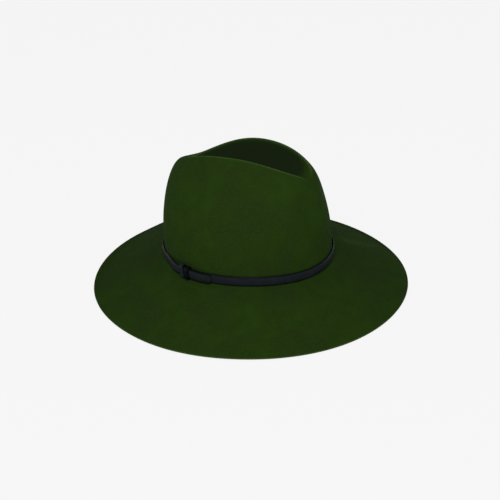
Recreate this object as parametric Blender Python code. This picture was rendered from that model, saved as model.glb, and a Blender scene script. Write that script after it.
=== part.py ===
"""Wide-brimmed felt fedora with a leather band, a sliding keeper, and the sweatband inside.

Metres, +Z up. The hat stands on its brim edge at z = 0 and its front points to -Y, so the
wearer's right side is -X. One object per physical piece. The felt is a single blocked piece:
crown, centre dent and drooping brim. The leather band lifts off over the crown, and its
keeper slides along it about the centre of the oval's right-hand arc.
"""

import math

import bpy
import numpy as np

# ---------------------------------------------------------------- sizes: metres and degrees
CROWN_LENGTH = 0.1995     # crown's base over the felt, front to back
CROWN_WIDTH = 0.1820      # crown's base over the felt, side to side
SIDE_FLATNESS = 0.60      # 0 gives an oval of two round ends, and more makes its sides flatter
FELT = 0.0022             # felt thickness
STAND = 0.0392            # height of the crown-to-brim break over the table, at the sides
BREAK_DIP = 0.0045        # the break lies this much lower in front and behind
BREAK_LEVEL = 0.3         # sine of the direction up to which the break stays level at the sides

RIDGE_HEIGHT = 0.1267     # ridges each side of the dent, over the break
RIDGE_TILT = -0.046       # rise of the ridges per metre towards the back
RIDGE_BOW = 3.82          # fall of the ridges with the square of the distance from mid-length
RIDGE_TWIST = 3.54        # behind, the right-hand ridge stands higher: per metre out and back
RIDGE_FRONT = -0.0807     # where the two ridges run out at the front
RIDGE_BACK = 0.0687       # where they run out at the back
RIDGE_HALF_WIDTH = 0.0324
RIDGE_PEAR = -0.122       # above 0 the dent is wider behind, below 0 wider in front
DIP_DEPTH = 0.0054        # how far the felt between the ridges sinks where they run out in front
DIP_WIDTH = 0.0090
DENT_FLOOR = 0.0950       # lowest line of the dent, over the break
DENT_CENTRE = -0.010      # its place along the length
DENT_CURVE = 1.6          # 1 gives a straight-sided dent, 2 a round one

# Each wall is part of a superellipse arc, from WALL_START degrees down to 0 at the base: at 90 it
# leaves the ridge level, and below that it leaves the ridge at an angle. Then the powers out and up.
WALL_START_SIDE, WALL_START_FRONT, WALL_START_BACK = 16.9, 80.2, 89.8
WALL_OUT_SIDE, WALL_OUT_FRONT, WALL_OUT_BACK = 2.59, 1.85, 3.53
WALL_UP_SIDE, WALL_UP_FRONT, WALL_UP_BACK = 2.58, 2.13, 2.65
PINCH_DEPTH = 0.0026      # two shallow hollows, one each side of the front
PINCH_AT = 17.0           # degrees from the front
PINCH_SPREAD = 12.0
PINCH_HEIGHT = 0.078      # their middle, over the break
PINCH_REACH = 0.026
PINCH_ROWS = 4            # the hollows start this many rows past the ridge

BRIM_WIDTH = 0.0945       # along the felt
BRIM_SLOPE = 21.5
WAVE_2, WAVE_2_AT = 1.60, -30.2   # degrees of extra slope, and the direction it peaks in
WAVE_3, WAVE_3_AT = 1.38, -21.5
WAVE_4, WAVE_4_AT = 0.39, -17.0
WAVE_5, WAVE_5_AT = 0.24, 13.0

RIDGE_ROUND = 0.0017      # spread of the rounding at the ridges and at the break
BREAK_ROUND = 0.0012
FRONT_ROUND = 0.0065      # and at the ridges in front, where they fade out
FRONT_SPREAD = 24.0       # degrees from the front over which they do
FLOOR_EASE = 0.0010       # how softly the brim flattens where it meets the table
SNAP = 0.0003             # underside this near the table lies on it

BAND_LOW = 0.0013         # band's lower edge over the break
BAND_HEIGHT = 0.0115
BAND_THICK = 0.0020
BAND_ROUND = 0.0008
BAND_GAP = 0.0006         # air between the felt and the band
BAND_START = 150.0        # where the inner end lies, counted round from +X
BAND_OVERLAP = 30.0       # how far the outer end runs past the inner one
BAND_RAMP = 14.0          # the stretch over which the outer end climbs over the inner
LAYER_GAP = 0.0003

KEEPER_AT = 18.7          # degrees from -X towards the back, about the right-hand arc's centre
KEEPER_LENGTH = 0.0130
KEEPER_WALL = 0.0010      # against the felt, where the leather is pared thin
KEEPER_BULGE = 0.0010     # how much thicker it is in front
KEEPER_CORNER = 0.0012    # corner radius of its path round the band
KEEPER_EDGE = 0.0004
KEEPER_GAP = 0.0003
KEEPER_RISE = 0.0007      # air over and under the band, which dips a little along the travel
KEEPER_ROOM = 0.0014      # the band stands off this much further along the keeper's travel
ROOM_FROM, ROOM_TO, ROOM_EASE = 146.0, 169.0, 16.0

SWEAT_HEIGHT = 0.030
SWEAT_THICK = 0.0009
SWEAT_LOW = 0.0006        # sweatband's lower edge over the break
SWEAT_GAP = 0.0014        # air between the felt and the sweatband, at its lower edge
SWEAT_LEAN = 0.0016       # how much further in its upper edge lies
THREAD = 0.00028          # thread radius
THREAD_SIDES = 5
STITCH_LENGTH = 0.0045
STITCH_UP = 0.0025        # height of the seam over the sweatband's lower edge
STITCH_RISE = 0.00045     # how far the thread stands off between two stitches
TAPE_AT = 90.0            # degrees from +X: the middle of the back
TAPE_WIDTH = 0.012
TAPE_THICK = 0.0006
TAPE_UP = 0.0045
LABEL_THICK = 0.0005
LABEL_MARGIN = 0.002      # a label's upper edge lies this far under the sweatband's
SIZE_LABEL_AT, SIZE_LABEL = 116.0, (0.016, 0.012)
CARE_LABEL_AT, CARE_LABEL = 62.0, (0.030, 0.024)
CLEAR = 0.0004            # air between a piece sewn on and what it is sewn to

FELT_COLUMNS = 64
DENT_ROWS, WALL_ROWS, BRIM_ROWS = 6, 15, 9
DENT_CLOSER, WALL_CLOSER, BRIM_CLOSER = 1.35, 0.11, 0.12   # how the rows crowd at the corners
FINE = 4                  # normals are taken on a grid this many times finer round the hat
EVEN = 700                # points along a section while its corners are rounded
BLEND = 0.020             # stretch of the wall over which one rounding passes into the other
BAND_STATIONS = 112
SHARP = 40.0              # degrees between two faces past which their edge stays crisp

HALF_LENGTH = CROWN_LENGTH / 2
HALF_WIDTH = CROWN_WIDTH / 2
SIDE_RADIUS = HALF_LENGTH + SIDE_FLATNESS * (HALF_LENGTH - HALF_WIDTH)
# The oval is four arcs that meet in tangency: the side arcs' centres lie on X, the end arcs' on Y.
SIDE_OFF = SIDE_RADIUS - HALF_WIDTH
END_RADIUS = (SIDE_OFF**2 + HALF_LENGTH**2 - SIDE_RADIUS**2) / (
    2 * (HALF_LENGTH - SIDE_RADIUS)
)
END_OFF = HALF_LENGTH - END_RADIUS


# ---------------------------------------------------------------- the oval and the felt
def oval(angle, grow=0.0):
    """Points and outward normals of the four-arc oval, offset outwards by grow, in polar angle."""
    c, s = np.abs(np.cos(angle)), np.abs(np.sin(angle))
    side = SIDE_RADIUS + grow
    end = END_RADIUS + grow
    by_side = -SIDE_OFF * c + np.sqrt(side**2 - (SIDE_OFF * s) ** 2)
    by_end = END_OFF * s + np.sqrt(end**2 - (END_OFF * c) ** 2)
    on_side = by_side * s * SIDE_OFF <= END_OFF * (by_side * c + SIDE_OFF)
    r = np.where(on_side, by_side, by_end)
    normal_x = np.where(on_side, (r * c + SIDE_OFF) / side, r * c / end)
    normal_y = np.where(on_side, r * s / side, (r * s - END_OFF) / end)
    points = np.stack([r * np.cos(angle), r * np.sin(angle)], -1)
    normals = np.stack(
        [normal_x * np.sign(np.cos(angle)), normal_y * np.sign(np.sin(angle))], -1
    )
    return points, normals


def break_height(angle):
    """The crown-to-brim break, level along the sides and lower in front and behind."""
    past = np.clip((np.abs(np.sin(angle)) - BREAK_LEVEL) / (1 - BREAK_LEVEL), 0, 1)
    return -BREAK_DIP * past**2


def ridge(angle):
    """The closed line along the top of the ridges: a pear-shaped ring, bowed and twisted."""
    s = np.sin(angle)
    x = RIDGE_HALF_WIDTH * np.cos(angle) * (1 + RIDGE_PEAR * s)
    y = (RIDGE_BACK + RIDGE_FRONT) / 2 + (RIDGE_BACK - RIDGE_FRONT) / 2 * s
    twist = RIDGE_TWIST * x * y * np.clip(s, 0, 1)
    dip = DIP_DEPTH * np.exp(-((x / DIP_WIDTH) ** 2)) * np.clip(-s, 0, 1)
    z = RIDGE_HEIGHT + RIDGE_TILT * y - RIDGE_BOW * y**2 - twist - dip
    return np.stack([x, y, z], -1)


def by_direction(angle, side, front, back):
    """A value that is side at the flanks and eases to front at -Y and to back at +Y."""
    s = np.sin(angle)
    ahead, behind = np.clip(-s, 0, 1) ** 2, np.clip(s, 0, 1) ** 2
    return side + (front - side) * ahead + (back - side) * behind


def brim_slope(angle):
    waves = (
        (2, WAVE_2, WAVE_2_AT),
        (3, WAVE_3, WAVE_3_AT),
        (4, WAVE_4, WAVE_4_AT),
        (5, WAVE_5, WAVE_5_AT),
    )
    slope = BRIM_SLOPE + sum(
        size * np.cos(order * (angle - math.radians(at))) for order, size, at in waves
    )
    return np.radians(slope)


def raw_profiles(angle, dense=160):
    """For each direction, the sharp-cornered section from the dent's middle to the brim edge."""
    top = ridge(angle)
    u = np.linspace(0, 1, dense)[:, None]
    middle = np.array([0.0, DENT_CENTRE])
    dent = np.empty((dense, len(angle), 3))
    dent[..., :2] = middle + (top[:, :2] - middle) * u[..., None]
    dent[..., 2] = DENT_FLOOR + (top[:, 2] - DENT_FLOOR) * u**DENT_CURVE

    base, normal = oval(angle)
    start = by_direction(angle, WALL_START_SIDE, WALL_START_FRONT, WALL_START_BACK)
    start = np.radians(start)
    turn = np.linspace(1, 0, 2 * dense)[1:, None] * start
    out = by_direction(angle, WALL_OUT_SIDE, WALL_OUT_FRONT, WALL_OUT_BACK)
    up = by_direction(angle, WALL_UP_SIDE, WALL_UP_FRONT, WALL_UP_BACK)
    from_ridge = np.cos(start) ** (2 / out)
    reach = (np.cos(turn) ** (2 / out) - from_ridge) / (1 - from_ridge)
    wall = np.empty((2 * dense - 1, len(angle), 3))
    wall[..., :2] = top[:, :2] + (base - top[:, :2]) * reach[..., None]
    foot = break_height(angle)
    wall[..., 2] = foot + (top[:, 2] - foot) * (np.sin(turn) / np.sin(start)) ** (2 / up)

    run = np.linspace(0, BRIM_WIDTH, dense)[1:, None]
    slope = brim_slope(angle)
    brim = np.empty((dense - 1, len(angle), 3))
    brim[..., :2] = base + normal * (run * np.cos(slope))[..., None]
    brim[..., 2] = foot - run * np.sin(slope)
    return np.concatenate([dent, wall, brim]), dense - 1, 3 * dense - 2


def spread_along(line, count):
    """Each column of points re-read at count equal steps of its own length, and the steps."""
    step = np.linalg.norm(np.diff(line, axis=0), axis=2)
    length = np.vstack([np.zeros(line.shape[1]), np.cumsum(step, axis=0)])
    even = np.empty((count, line.shape[1], 3))
    for j in range(line.shape[1]):
        at = np.linspace(0, length[-1, j], count)
        for axis in range(3):
            even[:, j, axis] = np.interp(at, length[:, j], line[:, j, axis])
    return even, length


def rounded(line, spread):
    """The columns averaged along their length with a bell curve: corners become fillets."""
    reach = int(math.ceil(3.5 * spread))
    bell = np.exp(-0.5 * (np.arange(-reach, reach + 1) / spread) ** 2)
    bell /= bell.sum()
    ahead = 2 * line[0] - line[reach:0:-1]
    behind = 2 * line[-1] - line[-2 : -reach - 2 : -1]
    padded = np.concatenate([ahead, line, behind])
    return sum(
        weight * padded[i : i + len(line)] for i, weight in enumerate(bell)
    )


def row_places(at_ridge, at_break, at_edge):
    """Lengths along one section at which the felt's rows lie, closer at the ridge and the break."""
    dent = at_ridge * (1 - (1 - np.linspace(0, 1, DENT_ROWS + 1)) ** DENT_CLOSER)
    ease = np.linspace(0, 1, WALL_ROWS + 1)
    ease = ease - WALL_CLOSER * np.sin(2 * np.pi * ease)
    wall = at_ridge + (at_break - at_ridge) * ease
    out = np.linspace(0, 1, BRIM_ROWS + 1)
    out = out - BRIM_CLOSER * np.sin(2 * np.pi * out)
    brim = at_break + (at_edge - at_break) * out
    return np.concatenate([dent, wall[1:], brim[1:]])


def normals_of(grid):
    """Unit normals of rows of points that close round the hat, pointing up and out."""
    around = np.roll(grid, -1, axis=1) - np.roll(grid, 1, axis=1)
    normal = np.cross(np.gradient(grid, axis=0), around)
    normal[0] = (0, 0, 1)
    return normal / np.linalg.norm(normal, axis=2, keepdims=True)


def pinches(grid, angle):
    """How far the felt is pushed in: a bell-shaped hollow each side of the front of the wall."""
    across = (np.degrees(np.arccos(-np.sin(angle))) - PINCH_AT) / PINCH_SPREAD
    upright = (grid[..., 2] - PINCH_HEIGHT) / PINCH_REACH
    past_ridge = (np.arange(len(grid)) - DENT_ROWS) / PINCH_ROWS
    return PINCH_DEPTH * np.exp(-across**2 - upright**2) * np.clip(past_ridge, 0, 1)[:, None]


def felt_surface():
    """The felt's upper surface as rows of points, its middle first, and its normals."""
    count = FELT_COLUMNS * FINE
    angle = 2 * np.pi * np.arange(count) / count
    raw, ridge_at, break_at = raw_profiles(angle)
    even, length = spread_along(raw, EVEN)
    step = length[-1].mean() / (EVEN - 1)
    from_front = np.degrees(np.arccos(-np.sin(angle)))
    fading = np.exp(-((from_front / FRONT_SPREAD) ** 2))[:, None]
    soft_ridge = rounded(even, RIDGE_ROUND / step)
    soft_ridge = soft_ridge + (rounded(even, FRONT_ROUND / step) - soft_ridge) * fading
    soft_break = rounded(even, BREAK_ROUND / step)
    share = np.linspace(0, 1, EVEN)[:, None] * length[-1]
    blend = np.clip((length[break_at] - BLEND - share) / BLEND, 0, 1)[..., None]
    soft = soft_break + (soft_ridge - soft_break) * blend
    rows = DENT_ROWS + WALL_ROWS + BRIM_ROWS + 1
    grid = np.empty((rows, count, 3))
    for j in range(count):
        places = row_places(length[ridge_at, j], length[break_at, j], length[-1, j])
        for axis in range(3):
            grid[:, j, axis] = np.interp(places, share[:, j], soft[:, j, axis])
    grid[0] = grid[0].mean(axis=0)
    grid -= pinches(grid, angle)[..., None] * normals_of(grid)
    grid[..., 2] += STAND
    # The brim cannot sink through the table: where it would, it lies flat on it.
    over = (grid[..., 2] - FELT) / FLOOR_EASE
    eased = np.where(over > 1, over, np.where(over < -1, 0, (over + 1) ** 2 / 4))
    grid[..., 2] = FELT + FLOOR_EASE * eased
    return grid[:, ::FINE], normals_of(grid)[:, ::FINE]


# ---------------------------------------------------------------- making objects
def material(name, colour, roughness, metallic=0.0):
    made = bpy.data.materials.new(name)
    made.use_nodes = True
    shader = made.node_tree.nodes["Principled BSDF"]
    shader.inputs["Base Color"].default_value = (*colour, 1.0)
    shader.inputs["Roughness"].default_value = roughness
    shader.inputs["Metallic"].default_value = metallic
    return made


def solid(name, points, faces, look, centre):
    """A mesh object whose origin is the hat's, moved so that the brim's box is centred."""
    mesh = bpy.data.meshes.new(name)
    moved = np.asarray(points, float).reshape(-1, 3) - centre
    mesh.from_pydata([tuple(p) for p in moved.tolist()], [], faces)
    mesh.update()
    made = bpy.data.objects.new(name, mesh)
    bpy.context.scene.collection.objects.link(made)
    mesh.materials.append(look)
    mesh.shade_smooth()
    mesh.set_sharp_from_angle(angle=math.radians(SHARP))
    return made


def ring_faces(rings, size, closed):
    """Quads between successive rings of size points; caps at both ends unless closed."""
    faces = []
    for i in range(rings if closed else rings - 1):
        a, b = i * size, (i + 1) % rings * size
        for j in range(size):
            k = (j + 1) % size
            faces.append((a + j, a + k, b + k, b + j))
    if not closed:
        faces.append(tuple(range(size - 1, -1, -1)))
        faces.append(tuple((rings - 1) * size + j for j in range(size)))
    return faces


def rounded_box(half_w, half_h, radius, corner=3):
    """Points round a rectangle with rounded corners, anticlockwise, and their outward normals."""
    points, normals = [], []
    for quarter, (sx, sy) in enumerate(((1, 1), (-1, 1), (-1, -1), (1, -1))):
        for step in range(corner):
            turn = math.radians(90 * (quarter + step / (corner - 1)))
            n = (math.cos(turn), math.sin(turn))
            points.append(
                (sx * (half_w - radius) + radius * n[0], sy * (half_h - radius) + radius * n[1])
            )
            normals.append(n)
    return np.array(points), np.array(normals)


# ---------------------------------------------------------------- the pieces
def make_felt(look):
    grid, normal = felt_surface()
    under = grid - FELT * normal
    low = under[..., 2]
    under[..., 2] = np.where(low < SNAP, 0.0, low)
    rim = np.concatenate([grid[-1], under[-1]])
    centre = np.array([*(rim[:, :2].max(axis=0) + rim[:, :2].min(axis=0)) / 2, 0.0])
    rows, columns = grid.shape[:2]
    points = [grid[0, 0], *grid[1:].reshape(-1, 3), *under[:0:-1].reshape(-1, 3), under[0, 0]]
    faces = []
    for j in range(columns):
        k = (j + 1) % columns
        faces.append((0, 1 + j, 1 + k))
    rings = 2 * (rows - 1)
    for i in range(rings - 1):
        for j in range(columns):
            k = (j + 1) % columns
            a, b = 1 + i * columns, 1 + (i + 1) * columns
            faces.append((a + j, b + j, b + k, a + k))
    last, tip = 1 + (rings - 1) * columns, len(points) - 1
    for j in range(columns):
        faces.append((last + j, tip, last + (j + 1) % columns))
    return solid("felt_body", points, faces, look, centre), centre


def band_inner(angle):
    """How far the band's inner face stands off the felt: a little more along the keeper."""
    degrees = np.degrees(angle) % 360
    into = np.clip((degrees - ROOM_FROM + ROOM_EASE) / ROOM_EASE, 0, 1)
    leave = np.clip((ROOM_TO + ROOM_EASE - degrees) / ROOM_EASE, 0, 1)
    ease = np.minimum(into, leave)
    return BAND_GAP + KEEPER_ROOM * ease * ease * (3 - 2 * ease)


def make_band(look, centre):
    section, _ = rounded_box(BAND_THICK / 2, BAND_HEIGHT / 2, BAND_ROUND)
    start = math.radians(BAND_START)
    overlap = math.radians(BAND_OVERLAP)
    angle = np.linspace(start, start + 2 * math.pi + overlap, BAND_STATIONS)
    climb = np.clip((angle - start - 2 * math.pi) / math.radians(BAND_RAMP) + 1, 0, 1)
    climb = climb * climb * (3 - 2 * climb) * (BAND_THICK + LAYER_GAP)
    rings = []
    for dr, dz in section:
        xy, _ = oval(angle, band_inner(angle) + climb + BAND_THICK / 2 + dr)
        z = STAND + break_height(angle) + BAND_LOW + BAND_HEIGHT / 2 + dz
        rings.append(np.column_stack([xy, z]))
    points = np.stack(rings, axis=1)
    faces = ring_faces(BAND_STATIONS, len(section), False)
    return solid("hat_band", points, [f[::-1] for f in faces], look, centre)


def make_keeper(look, centre):
    """A sleeve round both layers of the band, bent about the right-hand arc's centre."""
    inner = SIDE_RADIUS + BAND_GAP + KEEPER_ROOM - KEEPER_GAP - KEEPER_WALL / 2
    outer = inner + 2 * BAND_THICK + LAYER_GAP + 2 * KEEPER_GAP + KEEPER_WALL
    low = STAND + BAND_LOW - KEEPER_RISE - KEEPER_WALL / 2
    high = low + BAND_HEIGHT + 2 * KEEPER_RISE + KEEPER_WALL
    path, out = rounded_box((outer - inner) / 2, (high - low) / 2, KEEPER_CORNER, 4)
    wall, _ = rounded_box(KEEPER_WALL / 2, KEEPER_LENGTH / 2, KEEPER_EDGE)
    points = []
    for (pr, pz), (nr, nz) in zip(path, out):
        for across, along in wall:
            bulge = KEEPER_BULGE * max(nr, 0) * (across > 0)
            r = (inner + outer) / 2 + pr + nr * (across + bulge)
            z = (low + high) / 2 + pz + nz * across
            turn = math.radians(KEEPER_AT) + along / ((inner + outer) / 2)
            points.append((SIDE_OFF - r * math.cos(turn), r * math.sin(turn), z))
    faces = ring_faces(len(path), len(wall), True)
    made = solid("band_keeper", points, [f[::-1] for f in faces], look, centre)
    # The origin goes on the axis the keeper slides round: the centre of the right-hand arc.
    axis = np.array([SIDE_OFF, 0.0, STAND + BAND_LOW]) - centre
    for vertex in made.data.vertices:
        vertex.co = (vertex.co[0] - axis[0], vertex.co[1] - axis[1], vertex.co[2] - axis[2])
    made.location = axis
    return made


def leaning(grow, z):
    """An offset of the oval moved in as the sweatband leans, at a height over the break."""
    return grow - SWEAT_LEAN * (z - SWEAT_LOW) / SWEAT_HEIGHT


def hoop(name, inner, outer, low, high, look, centre, stations=80):
    """A closed hoop between two offsets of the oval."""
    angle = 2 * np.pi * np.arange(stations) / stations
    section = ((outer, low), (outer, high), (inner, high), (inner, low))
    rings = []
    for grow, z in section:
        xy, _ = oval(angle, leaning(grow, z))
        rings.append(np.column_stack([xy, STAND + break_height(angle) + z]))
    points = np.stack(rings, axis=1)
    faces = ring_faces(stations, len(section), True)
    return solid(name, points, [f[::-1] for f in faces], look, centre)


SWEAT_OUTER = -(FELT + SWEAT_GAP)
SWEAT_INNER = SWEAT_OUTER - SWEAT_THICK


def make_stitching(look, centre):
    """One running thread along the sweatband's lower edge, rising and dipping stitch by stitch."""
    stitches = round(math.pi * (HALF_LENGTH + HALF_WIDTH) / STITCH_LENGTH / 2) * 2
    stations = stitches // 2 * 3
    angle = 2 * np.pi * np.arange(stations) / stations
    rise = STITCH_RISE * (1 + np.cos(2 * np.pi * np.arange(stations) / 3)) / 2
    middle = SWEAT_INNER - CLEAR - THREAD
    rings = []
    for step in range(THREAD_SIDES):
        turn = 2 * math.pi * step / THREAD_SIDES
        z = SWEAT_LOW + STITCH_UP + THREAD * math.sin(turn)
        xy, _ = oval(angle, leaning(middle - rise + THREAD * math.cos(turn), z))
        rings.append(np.column_stack([xy, STAND + break_height(angle) + z]))
    points = np.stack(rings, axis=1)
    faces = ring_faces(stations, THREAD_SIDES, True)
    return solid("sweatband_stitching", points, [f[::-1] for f in faces], look, centre)


def curved_patch(name, at, width, low, high, outer, thick, look, centre, steps=8):
    """A flat label or tape bent to an offset of the oval, centred at a direction."""
    half = width / 2 / HALF_LENGTH
    angle = math.radians(at) + np.linspace(-half, half, steps)
    section = ((outer, low), (outer, high), (outer - thick, high), (outer - thick, low))
    rings = []
    for grow, z in section:
        xy, _ = oval(angle, leaning(grow, z))
        rings.append(np.column_stack([xy, STAND + break_height(angle) + z]))
    points = np.stack(rings, axis=1)
    faces = ring_faces(steps, 4, False)
    return solid(name, points, [f[::-1] for f in faces], look, centre)


def main():
    for old in list(bpy.data.objects):
        bpy.data.objects.remove(old, do_unlink=True)
    felt = material("felt", (0.0145, 0.0340, 0.0048), 0.95)
    leather = material("leather", (0.0130, 0.0160, 0.0210), 0.42)
    ribbon = material("ribbon", (0.0120, 0.0120, 0.0130), 0.80)
    thread = material("thread", (0.0200, 0.0220, 0.0160), 0.75)
    satin = material("label", (0.62, 0.61, 0.58), 0.55)

    _, centre = make_felt(felt)
    make_band(leather, centre)
    make_keeper(leather, centre)
    sweat_top = SWEAT_LOW + SWEAT_HEIGHT
    hoop("sweatband", SWEAT_INNER, SWEAT_OUTER, SWEAT_LOW, sweat_top, ribbon, centre)
    make_stitching(thread, centre)
    on_band = SWEAT_INNER - CLEAR
    curved_patch(
        "sweatband_join", TAPE_AT, TAPE_WIDTH, SWEAT_LOW + TAPE_UP, sweat_top, on_band,
        TAPE_THICK, ribbon, centre,
    )
    top = sweat_top - LABEL_MARGIN
    for name, at, (width, height) in (
        ("size_label", SIZE_LABEL_AT, SIZE_LABEL),
        ("care_label", CARE_LABEL_AT, CARE_LABEL),
    ):
        curved_patch(
            name, at, width, top - height, top, on_band, LABEL_THICK, satin, centre
        )


main()
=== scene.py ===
"""The finished look of a wide-brimmed wool-felt fedora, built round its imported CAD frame.

Every piece is a surface worked out with numpy and laid in the frame's own space, in metres. The
felt is one sheet: a crown with a centre dent and two front pinches, and a drooping brim. A leather
strap lies round the crown, held by a two-turn leather knot, and the sweatband is sewn inside. The
front points to -Y. Run as a script, it makes everything; the panel lists the same operators.
"""

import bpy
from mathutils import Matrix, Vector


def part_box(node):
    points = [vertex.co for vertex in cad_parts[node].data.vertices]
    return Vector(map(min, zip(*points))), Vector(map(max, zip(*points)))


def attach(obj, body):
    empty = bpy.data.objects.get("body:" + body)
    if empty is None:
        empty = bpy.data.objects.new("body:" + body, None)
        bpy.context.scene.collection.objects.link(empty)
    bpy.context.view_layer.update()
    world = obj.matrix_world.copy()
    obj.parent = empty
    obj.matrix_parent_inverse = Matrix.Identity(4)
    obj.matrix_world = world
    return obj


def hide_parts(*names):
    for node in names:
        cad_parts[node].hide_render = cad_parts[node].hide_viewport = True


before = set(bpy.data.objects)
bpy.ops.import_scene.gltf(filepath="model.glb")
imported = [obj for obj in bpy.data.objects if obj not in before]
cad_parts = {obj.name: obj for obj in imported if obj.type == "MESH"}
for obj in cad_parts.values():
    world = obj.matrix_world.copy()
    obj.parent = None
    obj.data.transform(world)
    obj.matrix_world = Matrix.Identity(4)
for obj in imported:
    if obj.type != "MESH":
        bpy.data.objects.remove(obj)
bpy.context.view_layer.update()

import math

import bpy
import numpy as np
from bpy.props import FloatProperty, FloatVectorProperty, IntProperty, PointerProperty
from bpy.types import Operator, Panel, PropertyGroup
from mathutils import Quaternion, Vector

bl_info = {
    "name": "Felt Fedora",
    "version": (1, 0, 0),
    "blender": (4, 5, 0),
    "location": "3D View > Sidebar > Fedora",
    "description": "Builds a wide-brimmed felt fedora with its leather band and sweatband",
    "category": "Add Mesh",
}

# ---------------------------------------------------------------- what the frame says
FELT_THICK = 0.0022
SWEAT_GAP = 0.0014           # air between the felt and the sweatband's lower edge
SWEAT_LOW = 0.0006           # that edge's height over the break of the brim
SWEAT_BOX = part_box("sweatband")
BREAK_DIP = 0.0045           # the break lies this much lower in front and behind than at the sides
OVAL_MIDDLE = ((SWEAT_BOX[0] + SWEAT_BOX[1]) / 2).xy
BREAK_HEIGHT = SWEAT_BOX[0].z - SWEAT_LOW + BREAK_DIP
SEAT_LENGTH = SWEAT_BOX[1].y - SWEAT_BOX[0].y + 2 * (FELT_THICK + SWEAT_GAP)
SEAT_WIDTH = SWEAT_BOX[1].x - SWEAT_BOX[0].x + 2 * (FELT_THICK + SWEAT_GAP)


def metres(name, description, default):
    return FloatProperty(
        name=name, description=description, default=default, unit="LENGTH", precision=4
    )


def degrees(name, description, default):
    return FloatProperty(
        name=name, description=description, default=math.radians(default), subtype="ANGLE"
    )


def plain(name, description, default):
    return FloatProperty(name=name, description=description, default=default, precision=3)


def watts(name, description, default):
    return FloatProperty(name=name, description=description, default=default, unit="POWER")


def colour(name, description, default):
    return FloatVectorProperty(
        name=name, description=description, default=default, subtype="COLOR", min=0, max=1
    )


# ---------------------------------------------------------------- sizes and colours
class CrownSizes(PropertyGroup):
    """The crown's base oval, its ridges, its dent and its walls."""

    length: metres("Length", "Crown's base over the felt, front to back", SEAT_LENGTH)
    width: metres("Width", "Crown's base over the felt, side to side", SEAT_WIDTH)
    side_radius: metres("Side radius", "Radius of the oval's two side arcs", 0.105)
    felt: metres("Felt thickness", "Thickness of the felt", FELT_THICK)
    stand: metres("Break height", "Crown-to-brim break over the table", BREAK_HEIGHT)
    dip: metres("Break dip", "How much lower the break lies in front and behind", BREAK_DIP)
    level: plain("Level sides", "Sine of the direction up to which the break is level", 0.3)
    ridge_height: metres("Ridge height", "Ridges over the break, at mid-length", 0.1267)
    ridge_tilt: plain("Ridge tilt", "Rise of the ridges per metre towards the back", -0.046)
    ridge_bow: plain("Ridge bow", "Fall of the ridges with the distance squared", 3.82)
    ridge_twist: plain("Ridge twist", "How far the right-hand ridge rises behind", 3.54)
    ridge_front: metres("Ridge front", "Where the two ridges run out in front", -0.0807)
    ridge_back: metres("Ridge back", "Where the two ridges run out behind", 0.0687)
    ridge_half: metres("Ridge half width", "Half the width between the ridges", 0.0324)
    ridge_pear: plain("Ridge pear", "Below 0 the dent is wider in front", -0.122)
    dip_depth: metres("Dip depth", "How far the felt sinks between the ridges in front", 0.0054)
    dip_width: metres("Dip width", "Spread of that dip", 0.0090)
    dent_floor: metres("Dent floor", "Lowest line of the dent over the break", 0.0950)
    dent_centre: metres("Dent centre", "Place of the dent's lowest point along the hat", -0.010)
    dent_curve: plain("Dent curve", "1 is a straight-sided dent, 2 a round one", 1.6)
    start_side: degrees("Wall start, sides", "90 leaves the ridge level", 16.9)
    start_front: degrees("Wall start, front", "90 leaves the ridge level", 80.2)
    start_back: degrees("Wall start, back", "90 leaves the ridge level", 89.8)
    pinch_depth: metres("Pinch depth", "Depth of the two front pinches", 0.0026)
    pinch_at: degrees("Pinch direction", "Angle of each pinch from the front", 17.0)
    pinch_spread: degrees("Pinch spread", "Half width of each pinch", 12.0)
    pinch_height: metres("Pinch height", "Middle of the pinches over the break", 0.078)
    pinch_reach: metres("Pinch reach", "Half height of the pinches", 0.026)
    ridge_round: metres("Ridge rounding", "Softness of the ridges", 0.0017)
    front_round: metres("Front rounding", "Softness of the ridges fading in front", 0.0065)
    front_spread: degrees("Front fading", "Angle from the front over which they fade", 24.0)
    # Painted highlight along the ridges.
    ridge_highlight: metres("Highlit nap", "Half width of the lighter nap along the ridges", 0.0016)
    dent_shade: metres("Dent shade", "Distance over which the dent darkens", 0.006)
    swell: metres("Swell", "Height of the slow unevenness of the felt", 0.0005)
    break_round: metres("Break rounding", "Softness of the crown-to-brim break", 0.0012)


class BrimSizes(PropertyGroup):
    """The brim: how wide it is, how it droops, and the slow waves round it."""

    width: metres("Width", "Brim width along the felt", 0.0945)
    slope: degrees("Slope", "Mean droop of the brim", 21.5)
    wave_2: degrees("Two-fold wave", "Extra droop, twice round", 1.60)
    wave_2_at: degrees("Two-fold direction", "Direction where it droops most", -30.2)
    wave_3: degrees("Three-fold wave", "Extra droop, three times round", 1.38)
    wave_3_at: degrees("Three-fold direction", "Direction where it droops most", -21.5)
    wave_4: degrees("Four-fold wave", "Extra droop, four times round", 0.39)
    wave_4_at: degrees("Four-fold direction", "Direction where it droops most", -17.0)
    wave_5: degrees("Five-fold wave", "Extra droop, five times round", 0.24)
    wave_5_at: degrees("Five-fold direction", "Direction where it droops most", 13.0)
    floor_ease: metres("Floor ease", "How softly the brim flattens on the table", 0.0010)
    # Painted shade on one side of the brim.
    dimmed: plain("Dimmed", "How far the brim's nap is brushed flat, at most", 0.42)
    dimmest_at: degrees("Brushed direction", "Direction where it is flattest", 26.0)
    # Painted shadow in a band on the brim right under the strap.
    strap_shadow: plain("Shadowed", "How flat the nap is rubbed right under the strap", 0.25)
    shadowed: metres("Rubbed reach", "How far out from the strap it is rubbed", 0.030)
    # Painted highlight in one streak across the brim.
    streak: plain("Streak", "How far the nap stands up in the one streak across the brim", 0.20)
    streak_at: degrees("Streak direction", "Where the streak lies", -50.0)
    streak_width: degrees("Streak width", "Half width of the streak", 3.5)
    edge_bulge: metres("Cut edge", "How far the cut edge of the felt rounds out", 0.0008)


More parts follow.
